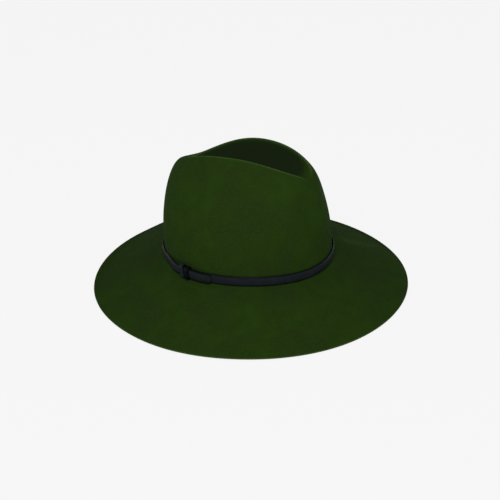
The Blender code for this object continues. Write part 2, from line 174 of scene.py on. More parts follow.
class StrapSizes(PropertyGroup):
    """The leather strap round the crown and the knot that holds its two ends."""

    height: metres("Height", "Strap's width, standing up", 0.0115)
    thick: metres("Thickness", "Strap's thickness", 0.0020)
    low: metres("Lower edge", "Strap's lower edge over the break", 0.0013)
    gap: metres("Gap", "Air between the felt and the strap", 0.0006)
    start: degrees("Inner end", "Direction of the inner end", 150.0)
    overlap: degrees("Overlap", "How far the outer end runs past the inner one", 30.0)
    ramp: degrees("Ramp", "Stretch over which the outer end climbs", 14.0)
    layer_gap: metres("Layer gap", "Air between the strap's two layers", 0.0003)
    room: metres("Knot room", "Extra stand-off along the knot's travel", 0.0014)
    knot_at: degrees("Knot direction", "From the wearer's right towards the back", 18.7)
    knot_length: metres("Knot length", "The knot's two turns side by side", 0.0130)
    knot_thick: metres("Knot leather", "Thickness of the knot's leather outside", 0.0020)


class SweatbandSizes(PropertyGroup):
    """The grosgrain sweatband, its stitching, its join and its labels."""

    height: metres("Height", "Sweatband's height", 0.030)
    thick: metres("Thickness", "Sweatband's thickness", 0.0009)
    lean: metres("Lean", "How much further in its upper edge lies", 0.0016)
    thread: metres("Thread radius", "Radius of the sewing thread", 0.00028)
    stitch: metres("Stitch length", "From one stitch to the next", 0.0045)
    tape: metres("Tape width", "Width of the tape over the join", 0.012)
    label_width: metres("Label width", "Width of the wide label", 0.030)
    label_height: metres("Label height", "Height of the wide label", 0.024)
    size_width: metres("Size label width", "Width of the small label", 0.016)
    size_height: metres("Size label height", "Height of the small label", 0.012)


class FedoraColours(PropertyGroup):
    """Colours of the cloth, the leather and the stage."""

    felt: colour("Felt", "Body colour of the wool felt", (0.0144, 0.0345, 0.0037))
    felt_deep: colour("Felt, deep", "Darker wool between tufts", (0.0112, 0.0272, 0.0028))
    felt_ashen: colour("Felt, ashen", "Greyer wool in broad patches", (0.0122, 0.0235, 0.0046))
    # Painted shade: in the dent, on one side of the brim and under the strap.
    felt_painted_shade: colour("Felt, pressed", "Nap pressed down in the dent", (0.0075, 0.0135, 0.0042))
    # Painted highlight on the ridges and the brim's streak; also the lighter cut edge.
    felt_highlight_and_cut: colour("Felt, raised", "Lighter nap on ridges and cut", (0.050, 0.092, 0.024))
    strap: colour("Strap", "Leather of the strap and the knot", (0.0068, 0.0092, 0.0114))
    # Darker colour along the strap's edges; on the knot's first turn it is painted shade.
    strap_edge_and_shade: colour("Strap edge", "Dyed edge of the leather", (0.0010, 0.0016, 0.0024))
    ribbon: colour("Ribbon", "Grosgrain of the sweatband", (0.0120, 0.0125, 0.0120))
    thread: colour("Thread", "Sewing thread", (0.030, 0.034, 0.026))
    label: colour("Label", "Woven satin of the labels", (0.62, 0.61, 0.57))
    floor: colour("Floor", "The pale floor", (0.925, 0.925, 0.925))


class StageSettings(PropertyGroup):
    """Where the camera stands and how bright the lights are."""

    azimuth: degrees("Azimuth", "Camera's turn round the hat, 0 in front", -64.23)
    elevation: degrees("Elevation", "Camera's angle above the horizon", 26.44)
    roll: degrees("Roll", "Camera's roll", -2.49)
    distance: metres("Distance", "Camera to the hat's middle", 1.118)
    lens: FloatProperty(
        name="Lens", description="Focal length on a 36 mm sensor, in millimetres", default=69.17
    )
    aim_right: plain("Aim right", "The hat's middle, right of the view's middle", -0.0060)
    aim_up: plain("Aim up", "The hat's middle, above the view's middle", 0.0528)
    sky: plain("Sky", "Brightness of the plain surroundings", 0.40)
    key: watts("Key", "Soft light behind the camera", 24.0)
    top: watts("Top", "Soft light overhead", 2.0)
    floor_glow: plain("Floor glow", "Share of the floor's white that is its own", 0.96)


class FedoraSettings(PropertyGroup):
    """Every setting of the hat and its stage."""

    crown: PointerProperty(type=CrownSizes)
    brim: PointerProperty(type=BrimSizes)
    strap: PointerProperty(type=StrapSizes)
    sweatband: PointerProperty(type=SweatbandSizes)
    colours: PointerProperty(type=FedoraColours)
    stage: PointerProperty(type=StageSettings)
    columns: IntProperty(
        name="Columns", description="Points round the felt", default=372, min=48, max=380
    )


# ---------------------------------------------------------------- curves of the hat
def oval(crown, angle, grow=0.0):
    """Points and outward normals of the hat's oval, offset outwards by grow.

    Four tangent arcs: two side arcs centred on X and two end arcs centred on Y. The radius in a
    direction is the root of the circle's equation for the arc that the direction meets.
    """
    half_length, half_width = crown.length / 2, crown.width / 2
    side_off = crown.side_radius - half_width
    end_radius = (side_off**2 + half_length**2 - crown.side_radius**2) / (
        2 * (half_length - crown.side_radius)
    )
    end_off = half_length - end_radius
    c, s = np.abs(np.cos(angle)), np.abs(np.sin(angle))
    side, end = crown.side_radius + grow, end_radius + grow
    by_side = -side_off * c + np.sqrt(side**2 - (side_off * s) ** 2)
    by_end = end_off * s + np.sqrt(end**2 - (end_off * c) ** 2)
    on_side = by_side * s * side_off <= end_off * (by_side * c + side_off)
    r = np.where(on_side, by_side, by_end)
    normal_x = np.where(on_side, (r * c + side_off) / side, r * c / end)
    normal_y = np.where(on_side, r * s / side, (r * s - end_off) / end)
    points = np.stack([r * np.cos(angle), r * np.sin(angle)], -1)
    normals = np.stack([normal_x * np.sign(np.cos(angle)), normal_y * np.sign(np.sin(angle))], -1)
    return points, normals


def break_height(crown, angle):
    """The crown-to-brim break: level along the sides, falling with the square past them."""
    past = np.clip((np.abs(np.sin(angle)) - crown.level) / (1 - crown.level), 0, 1)
    return -crown.dip * past**2


def ridge_line(crown, angle):
    """The closed line on top of the ridges.

    A pear-shaped ring, tilted, bowed by the square of its distance from mid-length, twisted up
    behind on the right, with a bell-shaped dip in front.
    """
    s = np.sin(angle)
    x = crown.ridge_half * np.cos(angle) * (1 + crown.ridge_pear * s)
    y = (crown.ridge_back + crown.ridge_front) / 2 + (crown.ridge_back - crown.ridge_front) / 2 * s
    twist = crown.ridge_twist * x * y * np.clip(s, 0, 1)
    dip = crown.dip_depth * np.exp(-((x / crown.dip_width) ** 2)) * np.clip(-s, 0, 1)
    z = crown.ridge_height + crown.ridge_tilt * y - crown.ridge_bow * y**2 - twist - dip
    return np.stack([x, y, z], -1)


def by_direction(angle, side, front, back):
    """A value that is side at the flanks and eases to front at -Y and to back at +Y."""
    s = np.sin(angle)
    ahead, behind = np.clip(-s, 0, 1) ** 2, np.clip(s, 0, 1) ** 2
    return side + (front - side) * ahead + (back - side) * behind


def brim_slope(brim, angle):
    """Mean droop plus four cosine waves of two to five swings round the brim."""
    waves = (
        (2, brim.wave_2, brim.wave_2_at),
        (3, brim.wave_3, brim.wave_3_at),
        (4, brim.wave_4, brim.wave_4_at),
        (5, brim.wave_5, brim.wave_5_at),
    )
    return brim.slope + sum(size * np.cos(n * (angle - at)) for n, size, at in waves)


WALL_OUT = (2.59, 1.85, 3.53)   # superellipse power outwards at the sides, the front and the back
WALL_UP = (2.58, 2.13, 2.65)    # and upwards


def sharp_sections(hat, angle, dense=200):
    """For each direction, the section from the dent's middle to the brim edge, corners unsoftened.

    Dent: the ridge line shrunk to the middle, its height falling with the power dent_curve.
    Wall: from ridge to base oval along the lower part of a superellipse arc. Brim: straight down
    its slope.
    """
    crown, brim = hat.crown, hat.brim
    top = ridge_line(crown, angle)
    u = np.linspace(0, 1, dense)[:, None]
    dent = np.empty((dense, len(angle), 3))
    lowest = np.array([0.0, crown.dent_centre])
    dent[..., :2] = lowest + (top[:, :2] - lowest) * u[..., None]
    dent[..., 2] = crown.dent_floor + (top[:, 2] - crown.dent_floor) * u**crown.dent_curve

    base, normal = oval(crown, angle)
    start = by_direction(angle, crown.start_side, crown.start_front, crown.start_back)
    turn = np.linspace(1, 0, 2 * dense)[1:, None] * start
    out, up = by_direction(angle, *WALL_OUT), by_direction(angle, *WALL_UP)
    from_ridge = np.cos(start) ** (2 / out)
    reach = (np.cos(turn) ** (2 / out) - from_ridge) / (1 - from_ridge)
    wall = np.empty((2 * dense - 1, len(angle), 3))
    wall[..., :2] = top[:, :2] + (base - top[:, :2]) * reach[..., None]
    foot = break_height(crown, angle)
    wall[..., 2] = foot + (top[:, 2] - foot) * (np.sin(turn) / np.sin(start)) ** (2 / up)

    run = np.linspace(0, brim.width - brim.edge_bulge, dense)[1:, None]
    slope = brim_slope(brim, angle)
    flat = np.empty((dense - 1, len(angle), 3))
    flat[..., :2] = base + normal * (run * np.cos(slope))[..., None]
    flat[..., 2] = foot - run * np.sin(slope)
    return np.concatenate([dent, wall, flat]), dense - 1, 3 * dense - 2


def lengths_along(line):
    """Distance travelled down each column of points."""
    step = np.linalg.norm(np.diff(line, axis=0), axis=2)
    return np.vstack([np.zeros(line.shape[1]), np.cumsum(step, axis=0)])


def read_along(at, length, line):
    """Each column of line re-read at the lengths in at. The columns are laid end to end on one
    long rule, so a single straight-line interpolation serves them all."""
    columns = line.shape[1]
    lane = 2 * length[-1].max() * np.arange(columns)
    where, known = (at + lane).T.ravel(), (length + lane).T.ravel()
    read = [np.interp(where, known, line[..., k].T.ravel()) for k in range(line.shape[2])]
    return np.stack([row.reshape(columns, -1).T for row in read], -1)


def softened(line, spread):
    """The columns averaged along their length with a bell curve: corners become fillets."""
    reach = int(math.ceil(3.5 * spread))
    bell = np.exp(-0.5 * (np.arange(-reach, reach + 1) / spread) ** 2)
    bell /= bell.sum()
    ahead = 2 * line[0] - line[reach:0:-1]
    behind = 2 * line[-1] - line[-2 : -reach - 2 : -1]
    padded = np.concatenate([ahead, line, behind])
    return sum(weight * padded[i : i + len(line)] for i, weight in enumerate(bell))


DENT_ROWS, WALL_ROWS, BRIM_ROWS, CUT_ROWS = 26, 54, 42, 5
DENT_CLOSER, WALL_CLOSER, BRIM_CLOSER = 1.35, 0.11, 0.10   # how the rows crowd at the corners
EVEN_ROWS = 800              # points along a section while its corners are softened
FADE = 0.020                 # length over which one treatment of the felt passes into the next
SHADE_IN_FRONT = 3           # the dent's shade spreads this much further where it fades in front
STRAP_CLEAR = (0.03, 0.6)    # swells grow over the first length, from that share of it on
SWELL_A, SWELL_B = (3, 9, 0.0), (2, -14, 1.0)   # turns round the hat, down the felt, and a start


def row_lengths(at_ridge, at_break, at_edge):
    """Where the felt's rows lie along each section, closer together at the ridge and the break."""
    dent = 1 - (1 - np.linspace(0, 1, DENT_ROWS + 1)) ** DENT_CLOSER
    wall = np.linspace(0, 1, WALL_ROWS + 1)[1:]
    wall = wall - WALL_CLOSER * np.sin(2 * np.pi * wall)
    flat = np.linspace(0, 1, BRIM_ROWS + 1)[1:]
    flat = flat - BRIM_CLOSER * np.sin(2 * np.pi * flat)
    return np.concatenate(
        [
            dent[:, None] * at_ridge,
            at_ridge + wall[:, None] * (at_break - at_ridge),
            at_break + flat[:, None] * (at_edge - at_break),
        ]
    )


def surface_normals(grid):
    """Unit normals of a grid that closes round its columns, pointing up and out."""
    around = np.roll(grid, -1, axis=1) - np.roll(grid, 1, axis=1)
    normal = np.cross(np.gradient(grid, axis=0), around)
    normal[0] = (0, 0, 1)
    return normal / np.linalg.norm(normal, axis=2, keepdims=True)


def painted_light_of(hat, angle, fading, past_ridge, past_break, brim_share):
    """Painted highlight and painted shade, each from 0 to 1.

    Highlight: a bell curve across each ridge, and one streak straight out across the brim. Shade:
    in the dent, on one side of the brim, and in a band right under the strap.
    """
    crown, brim = hat.crown, hat.brim
    # Painted highlight along the ridges, fading out in front.
    near_ridge = np.exp(-((past_ridge / crown.ridge_highlight) ** 2)) * (1 - fading)
    aside = (angle - brim.streak_at + np.pi) % (2 * np.pi) - np.pi
    streak = np.exp(-((aside / brim.streak_width) ** 2))
    streak = streak * np.clip(np.sin(np.pi * brim_share), 0, 1) * (brim_share > 0)

    on_brim = np.clip(past_break / FADE, 0, 1)
    # Painted shade on one side of the brim, darkest towards one direction.
    dimmed = on_brim * np.clip(0.5 + 0.5 * np.cos(angle - brim.dimmest_at), 0, 1)
    # Painted shadow in a band right under the strap.
    shadowed = np.clip(1 - past_break / brim.shadowed, 0, 1) * on_brim**0.5
    # Painted shade in the dent, spreading further where the ridges fade in front.
    in_dent = np.clip(-past_ridge / (crown.dent_shade * (1 + SHADE_IN_FRONT * fading)), 0, 1)
    in_dent = in_dent * in_dent * (3 - 2 * in_dent)
    highlight = near_ridge + brim.streak * streak
    return highlight, np.maximum(in_dent, brim.dimmed * dimmed + brim.strap_shadow * shadowed)


def pushed_in(hat, angle, from_front, height, past_ridge, past_break, to_edge):
    """How far the felt is pushed in: a bell-shaped pinch each side of the front, less the slow
    swells of hand-blocked felt, which fade out at the ridge, at the strap and at the brim edge."""
    crown = hat.crown
    below_ridge = np.clip(past_ridge / FADE, 0, 1)
    across = (from_front - crown.pinch_at) / crown.pinch_spread
    upright = (height - crown.pinch_height) / crown.pinch_reach
    pinch = crown.pinch_depth * np.exp(-across**2 - upright**2) * below_ridge
    down = np.arange(len(height))[:, None] / (len(height) - 1)
    swell = 1.0
    for turns, falls, start in (SWELL_A, SWELL_B):
        swell = swell * np.sin(turns * angle + falls * down + start)
    reach, hold = STRAP_CLEAR
    clear = np.clip(np.abs(past_break) / reach - hold, 0, 1) * below_ridge
    return pinch - crown.swell * swell * clear * np.clip(to_edge / FADE, 0, 1)


def felt_sheet(hat):
    """The felt's upper surface as rows by columns, its normals, and how its nap lies.

    The softened sections, pushed in at the pinches, and eased flat where the underside meets the
    table: there the height falls to it along a parabola.
    """
    crown = hat.crown
    angle = 2 * np.pi * np.arange(hat.columns) / hat.columns
    raw, ridge_at, break_at = sharp_sections(hat, angle)
    length = lengths_along(raw)
    even = np.linspace(0, 1, EVEN_ROWS)[:, None] * length[-1]
    line = read_along(even, length, raw)
    step = length[-1].mean() / (EVEN_ROWS - 1)
    soft_break = softened(line, crown.break_round / step)
    mix = np.clip((length[break_at] - FADE - even) / FADE, 0, 1)[..., None]
    from_front = np.arccos(-np.sin(angle))
    fading = np.exp(-((from_front / crown.front_spread) ** 2))
    soft_ridge = softened(line, crown.ridge_round / step)
    soft_front = softened(line, crown.front_round / step)
    soft_ridge = soft_ridge + (soft_front - soft_ridge) * fading[:, None]
    soft = soft_break + (soft_ridge - soft_break) * mix
    places = row_lengths(length[ridge_at], length[break_at], length[-1])
    grid = read_along(places, even, soft)
    grid[0] = grid[0].mean(axis=0)

    past_ridge, past_break = places - length[ridge_at], places - length[break_at]
    brim_share = past_break / (length[-1] - length[break_at])
    highlight, shaded = painted_light_of(hat, angle, fading, past_ridge, past_break, brim_share)
    push = pushed_in(
        hat, angle, from_front, grid[..., 2], past_ridge, past_break, length[-1] - places
    )
    grid -= push[..., None] * surface_normals(grid)
    grid[..., 2] += crown.stand
    ease = hat.brim.floor_ease
    over = (grid[..., 2] - crown.felt) / ease
    eased = np.where(over > 1, over, np.where(over < -1, 0, (over + 1) ** 2 / 4))
    grid[..., 2] = crown.felt + ease * eased
    return grid, surface_normals(grid), highlight, shaded


# ---------------------------------------------------------------- putting surfaces into meshes
CRISP = 60.0                 # degrees between two faces past which their edge stays crisp
CRISP_LEATHER = 75.0


def as_closed_piece(name, points, quads, fans, look, smooth=CRISP):
    """A mesh object at the origin: quads closed by fans of triangles, round the oval's middle."""
    mesh = bpy.data.meshes.new(name)
    placed = np.asarray(points, float).reshape(-1, 3) + (OVAL_MIDDLE.x, OVAL_MIDDLE.y, 0.0)
    faces = quads.tolist() + [corner for ring in fans for corner in ring.tolist()]
    mesh.from_pydata(placed.tolist(), [], faces)
    mesh.update()
    mesh.materials.append(look)
    mesh.shade_smooth()
    mesh.set_sharp_from_angle(angle=math.radians(smooth))
    piece = bpy.data.objects.new(name, mesh)
    bpy.context.scene.collection.objects.link(piece)
    return piece


def set_attribute(piece, name, values):
    made = piece.data.attributes.new(name, "FLOAT", "POINT")
    made.data.foreach_set("value", np.asarray(values, np.float32).ravel())


def set_uv(piece, u, v):
    """A UV map in metres from one u and one v for each point."""
    corners = np.empty(len(piece.data.loops), np.int32)
    piece.data.loops.foreach_get("vertex_index", corners)
    chart = np.stack([np.ravel(u)[corners], np.ravel(v)[corners]], -1)
    piece.data.uv_layers.new(name="cloth").data.foreach_set("uv", chart.astype(np.float32).ravel())


def tube_faces(rings, size, closed):
    """Quads between successive rings of size points, rings first; joined end to end if closed."""
    ring = np.arange(rings if closed else rings - 1)[:, None] * size
    following = (ring + size) % (rings * size)
    j = np.arange(size)[None, :]
    k = (j + 1) % size
    return np.stack([ring + j, ring + k, following + k, following + j], -1).reshape(-1, 4)


def fan(tip, ring, turned=False):
    """Triangles from a ring of points to one tip, turned round if the ring runs the other way."""
    following = np.roll(ring, -1)
    a, b = (following, ring) if turned else (ring, following)
    return np.stack([np.full(len(ring), tip), a, b], -1)


def capped_tube(name, points, look, smooth=CRISP, turned=True):
    """A piece from rings of points, each end closed to the middle of its last ring."""
    stations, around = points.shape[:2]
    count = stations * around
    quads = tube_faces(stations, around, False)
    tips = np.stack([points[0].mean(axis=0), points[-1].mean(axis=0)])
    ring = np.arange(around)
    ends = [fan(count, ring, not turned), fan(count + 1, count - around + ring, turned)]
    every = np.concatenate([points.reshape(-1, 3), tips])
    return as_closed_piece(name, every, quads[:, ::-1] if turned else quads, ends, look, smooth)


def with_tips(values, at_start, at_end):
    """One value for each point of a capped tube: those of its rings, then its two tips'."""
    return np.append(np.ravel(values), [at_start, at_end])


def super_section(half_width, half_height, power_in, power_out, power_up, count):
    """A closed superellipse: its outer side (+x) rounder than the side against the felt."""
    turn = 2 * np.pi * np.arange(count) / count
    c, s = np.cos(turn), np.sin(turn)
    power = np.where(c > 0, power_out, power_in)
    return (
        half_width * np.sign(c) * np.abs(c) ** (2 / power),
        half_height * np.sign(s) * np.abs(s) ** (2 / power_up),
    )


# ---------------------------------------------------------------- materials
def new_look(name):
    look = bpy.data.materials.new(name)
    look.use_nodes = True
    return look, look.node_tree, look.node_tree.nodes["Principled BSDF"]


def node(tree, kind, values=None, **settings):
    made = tree.nodes.new("ShaderNode" + kind)
    for key, value in settings.items():
        setattr(made, key, value)
    for key, value in (values or {}).items():
        made.inputs[key].default_value = value
    return made


def noise(tree, where, scale, detail=3.0, roughness=0.5, distortion=0.0):
    made = node(
        tree,
        "TexNoise",
        {"Scale": scale, "Detail": detail, "Roughness": roughness, "Distortion": distortion},
    )
    tree.links.new(where, made.inputs["Vector"])
    return made.outputs["Fac"]


def stretched(tree, where, low, high, to_low=0.0, to_high=1.0):
    """The stretch of a pattern from low to high, spread over 0 to 1 or to_low to to_high."""
    made = node(
        tree,
        "MapRange",
        {"From Min": low, "From Max": high, "To Min": to_low, "To Max": to_high},
    )
    tree.links.new(where, made.inputs["Value"])
    return made.outputs["Result"]


def blended(tree, share, first, second):
    """Colour first where share is 0 and second where it is 1; each a socket or an RGB triple."""
    made = node(tree, "Mix", data_type="RGBA")
    tree.links.new(share, made.inputs["Factor"])
    for socket, value in ((made.inputs[6], first), (made.inputs[7], second)):
        if isinstance(value, bpy.types.NodeSocket):
            tree.links.new(value, socket)
        else:
            socket.default_value = (*value, 1.0)
    return made.outputs[2]


def bumped(tree, height, strength, distance, under=None):
    made = node(tree, "Bump", {"Strength": strength, "Distance": distance})
    tree.links.new(height, made.inputs["Height"])
    if under is not None:
        tree.links.new(under, made.inputs["Normal"])
    return made.outputs["Normal"]


def scaled_chart(tree, u, v):
    """The piece's own UV map, in metres, times u and v."""
    chart = node(tree, "UVMap", uv_map="cloth")
    mapping = node(tree, "Mapping", {"Scale": (u, v, 1.0)})
    tree.links.new(chart.outputs["UV"], mapping.inputs["Vector"])
    return mapping.outputs["Vector"]


def piece_attribute(tree, name):
    return node(tree, "Attribute", attribute_name=name).outputs["Fac"]


def wool_felt(colours):
    """Wool felt: matted fibres and slow mottling, a painted highlight on the ridges and a brim
    streak, a lighter cut edge, and painted shade in the dent, on one side of the brim and under
    the strap."""
    look, tree, shader = new_look("wool_felt")
    where = node(tree, "TexCoord").outputs["Object"]
    mottle = stretched(tree, noise(tree, where, 55.0, 4.0, 0.6), 0.35, 0.65)
    patch = stretched(tree, noise(tree, where, 22.0, 3.0, 0.55, 0.6), 0.42, 0.70)
    nap = noise(tree, where, 420.0, 4.0, 0.65, 0.8)
    fibre = noise(tree, where, 1500.0, 3.0, 0.7, 1.6)
    body = blended(tree, mottle, tuple(colours.felt_deep), tuple(colours.felt))
    ashen = blended(tree, patch, body, tuple(colours.felt_ashen))
    tufted = blended(tree, stretched(tree, nap, 0.42, 0.72), ashen, tuple(colours.felt))
    # Painted shade: the darker colour wherever the shade amount is set.
    shaded = blended(
        tree, piece_attribute(tree, "painted_shade_amount"), tufted, tuple(colours.felt_painted_shade)
    )
    # Painted highlight, broken by the nap noise; the cut edge takes it too as a lighter edge.
    highlight_share = node(tree, "Math", operation="MULTIPLY")
    tree.links.new(piece_attribute(tree, "highlight_and_cut"), highlight_share.inputs[0])
    tree.links.new(stretched(tree, nap, 0.25, 0.6), highlight_share.inputs[1])
    tree.links.new(
        blended(tree, highlight_share.outputs[0], shaded, tuple(colours.felt_highlight_and_cut)),
        shader.inputs["Base Color"],
    )
    shader.inputs["Roughness"].default_value = 1.0
    shader.inputs["Specular IOR Level"].default_value = 0.03
    shader.inputs["Sheen Weight"].default_value = 0.02
    shader.inputs["Sheen Roughness"].default_value = 0.5
    shader.inputs["Sheen Tint"].default_value = (0.35, 0.62, 0.20, 1.0)
    lumps = bumped(tree, mottle, 0.10, 0.0012)
    matted = bumped(tree, nap, 0.30, 0.0006, lumps)
    tree.links.new(bumped(tree, fibre, 0.35, 0.0002, matted), shader.inputs["Normal"])
    return look


def strap_leather(colours):
    """Smooth dark leather: fine pebbled grain, crossways creases, darker edges, a soft polish."""
    look, tree, shader = new_look("strap_leather")
    grain = node(tree, "TexVoronoi", {"Scale": 1.0, "Randomness": 0.9}, feature="SMOOTH_F1")
    tree.links.new(scaled_chart(tree, 1600.0, 1600.0), grain.inputs["Vector"])
    creases = noise(tree, scaled_chart(tree, 900.0, 160.0), 1.0, 4.0, 0.6, 0.5)
    cloud = noise(tree, scaled_chart(tree, 70.0, 120.0), 1.0, 3.0, 0.5)
    # Darker towards the top and bottom edges, and on the knot's first turn, where it is painted
    # shade.
    edge = stretched(tree, piece_attribute(tree, "to_edge"), 0.62, 0.93)
    lighter = tuple(1.4 * channel for channel in colours.strap)
    face = blended(tree, stretched(tree, cloud, 0.35, 0.7), tuple(colours.strap), lighter)
    tree.links.new(
        blended(tree, edge, face, tuple(colours.strap_edge_and_shade)), shader.inputs["Base Color"]
    )
    tree.links.new(stretched(tree, cloud, 0.3, 0.7, 0.36, 0.52), shader.inputs["Roughness"])
    shader.inputs["Specular IOR Level"].default_value = 0.07
    pebbles = bumped(tree, grain.outputs["Distance"], 0.25, 0.00012)
    tree.links.new(bumped(tree, creases, 0.35, 0.00022, pebbles), shader.inputs["Normal"])
    return look


def grosgrain(colours):
    """Ribbed ribbon: upright ribs a millimetre apart, wound with fine yarn."""
    look, tree, shader = new_look("grosgrain_ribbon")
    waves = {"Scale": 1.0, "Distortion": 0.4, "Detail": 1.0}
    ribs = node(tree, "TexWave", waves, wave_profile="SIN")
    tree.links.new(scaled_chart(tree, 314.0, 20.0), ribs.inputs["Vector"])
    yarn = noise(tree, scaled_chart(tree, 900.0, 4200.0), 1.0, 2.0, 0.5)
    # Painted shade in the rib valleys and painted highlight on the crests.
    rib_shade = tuple(0.45 * channel for channel in colours.ribbon)
    rib_highlight = tuple(1.5 * channel for channel in colours.ribbon)
    tree.links.new(
        blended(tree, stretched(tree, ribs.outputs["Fac"], 0.15, 0.85), rib_shade, rib_highlight),
        shader.inputs["Base Color"],
    )
    shader.inputs["Roughness"].default_value = 0.62
    shader.inputs["Specular IOR Level"].default_value = 0.35
    shader.inputs["Sheen Weight"].default_value = 0.15
    ribbed = bumped(tree, ribs.outputs["Fac"], 0.8, 0.0004)
    tree.links.new(bumped(tree, yarn, 0.4, 0.0001, ribbed), shader.inputs["Normal"])
    return look


def sewing_thread(colours):
    """Twisted thread: two plies winding along each stitch."""
    look, tree, shader = new_look("sewing_thread")
    plies = node(tree, "TexWave", {"Scale": 1.0}, bands_direction="DIAGONAL")
    tree.links.new(scaled_chart(tree, 900.0, 1400.0), plies.inputs["Vector"])
    # Painted shade in the grooves between the plies.
    dark = tuple(0.5 * channel for channel in colours.thread)
    twisted = blended(tree, plies.outputs["Fac"], dark, tuple(colours.thread))
    tree.links.new(twisted, shader.inputs["Base Color"])
    shader.inputs["Roughness"].default_value = 0.6
    tree.links.new(bumped(tree, plies.outputs["Fac"], 0.6, 0.0001), shader.inputs["Normal"])
    return look


def woven_label(colours):
    """Woven satin: fine crossing yarns and a woven border just inside the edge."""
    look, tree, shader = new_look("woven_label")
    warp = node(tree, "TexWave", {"Scale": 1.0}, bands_direction="X")
    tree.links.new(scaled_chart(tree, 950.0, 950.0), warp.inputs["Vector"])
    weft = node(tree, "TexWave", {"Scale": 1.0}, bands_direction="Y")
    tree.links.new(scaled_chart(tree, 950.0, 1500.0), weft.inputs["Vector"])
    weave = node(tree, "Math", operation="MULTIPLY")
    tree.links.new(warp.outputs["Fac"], weave.inputs[0])
    tree.links.new(weft.outputs["Fac"], weave.inputs[1])
    shade = tuple(0.72 * channel for channel in colours.label)
    cloth = blended(tree, weave.outputs[0], shade, tuple(colours.label))
    border = piece_attribute(tree, "border")
    tree.links.new(blended(tree, border, cloth, (0.06, 0.09, 0.05)), shader.inputs["Base Color"])
    shader.inputs["Roughness"].default_value = 0.45
    shader.inputs["Sheen Weight"].default_value = 0.2
    tree.links.new(bumped(tree, weave.outputs[0], 0.5, 0.0001), shader.inputs["Normal"])
    return look


def floor_paper(colours, glow):
    """Pale seamless paper that shows only a faint shadow: part its own light, part reflected."""
    look, tree, shader = new_look("floor_paper")
    where = node(tree, "TexCoord").outputs["Object"]
    fibres = noise(tree, where, 900.0, 2.0)
    shader.inputs["Base Color"].default_value = (*[(1 - glow) * c for c in colours.floor], 1.0)
    shader.inputs["Roughness"].default_value = 1.0
    shader.inputs["Specular IOR Level"].default_value = 0.0
    shader.inputs["Emission Color"].default_value = (*colours.floor, 1.0)
    shader.inputs["Emission Strength"].default_value = glow
    tree.links.new(bumped(tree, fibres, 0.1, 0.0001), shader.inputs["Normal"])
    return look


def shared_look(maker, name, *arguments):
    """The material of that name, made the first time it is asked for."""
    return bpy.data.materials.get(name) or maker(*arguments)


# ---------------------------------------------------------------- the pieces
class FedoraOperator(Operator):
    """Common to the operators that make a piece."""

    bl_options = {"REGISTER", "UNDO"}

    @property
    def hat(self):
        return bpy.context.scene.fedora

    def join_frame(self, piece, body, stands_for, slot):
        """The piece moves with a body and hides the CAD node it stands for."""
        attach(piece, body)
        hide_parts(stands_for)


ON_TABLE = 0.0003            # felt whose underside is this near the table lies on it
CUT_LIGHTER = 0.55               # share of the lighter colour along the cut edge


class FEDORA_OT_felt(FedoraOperator):
    """Make the felt: crown, dent, pinches and brim as one sheet with a rounded cut edge"""

    bl_idname = "fedora.felt"
    bl_label = "Felt body"

    def execute(self, context):
        hat = self.hat
        grid, normal, highlight, shaded = felt_sheet(hat)
        under = grid - hat.crown.felt * normal
        under[..., 2] = np.where(under[..., 2] < ON_TABLE, 0.0, under[..., 2])
        rows, columns = grid.shape[:2]

        # The cut edge: a half ellipse from the upper face round to the lower one.
        turn = np.linspace(np.pi / 2, -np.pi / 2, CUT_ROWS + 2)[1:-1, None, None]
        outward = grid[-1] - grid[-2]
        outward /= np.linalg.norm(outward, axis=1, keepdims=True)
        middle, half = (grid[-1] + under[-1]) / 2, (grid[-1] - under[-1]) / 2
        cut = middle + half * np.sin(turn) + outward * hat.brim.edge_bulge * np.cos(turn)
        cut[..., 2] = np.maximum(cut[..., 2], 0.0)

        rings = np.concatenate([grid[1:], cut, under[:0:-1]])
        tips = np.stack([grid[0, 0], under[0, 0]])
        points = np.concatenate([tips, rings.reshape(-1, 3)])
        count = len(rings)
        first, last = 2 + np.arange(columns), 2 + (count - 1) * columns + np.arange(columns)
        quads = 2 + tube_faces(count, columns, False)[:, ::-1]
        look = shared_look(wool_felt, "wool_felt", hat.colours)
        piece = as_closed_piece(
            "felt_shell", points, quads, [fan(0, first), fan(1, last, True)], look
        )
        # Painted highlight and painted shade lie on the upper face, and the lighter colour on the
        # cut;
        # the dent's middle takes full painted shade.
        up, flat = np.zeros((2, count, columns))
        up[: rows - 1], flat[: rows - 1] = highlight[1:], shaded[1:]
        up[rows - 1 : rows - 1 + CUT_ROWS] = CUT_LIGHTER
        set_attribute(piece, "highlight_and_cut", np.concatenate([[0.0, 0.0], up.ravel()]))
        set_attribute(piece, "painted_shade_amount", np.concatenate([[1.0, 0.0], flat.ravel()]))
        self.join_frame(piece, "hat", "felt_body", "felt")
        return {"FINISHED"}


ROOM_FROM, ROOM_TO, ROOM_EASE = 146.0, 169.0, 16.0   # degrees: the stretch the knot travels
STRAP_RINGS, STRAP_AROUND = 460, 30
STRAP_POWERS = (5.0, 2.0, 2.7)   # of its section: flat inside, cushioned outside, and upwards
TONGUE = 0.006               # length of the half-round cut at each end
TONGUE_TIP, TONGUE_THIN = 0.12, 0.5   # least share of its height and of its thickness


def strap_stand_off(strap, angle):
    """How far the strap's inner face stands off the felt: a little more where the knot slides."""
    turn = np.degrees(angle) % 360
    into = np.clip((turn - ROOM_FROM + ROOM_EASE) / ROOM_EASE, 0, 1)
    leave = np.clip((ROOM_TO + ROOM_EASE - turn) / ROOM_EASE, 0, 1)
    ease = np.minimum(into, leave)
    return strap.gap + strap.room * ease * ease * (3 - 2 * ease)


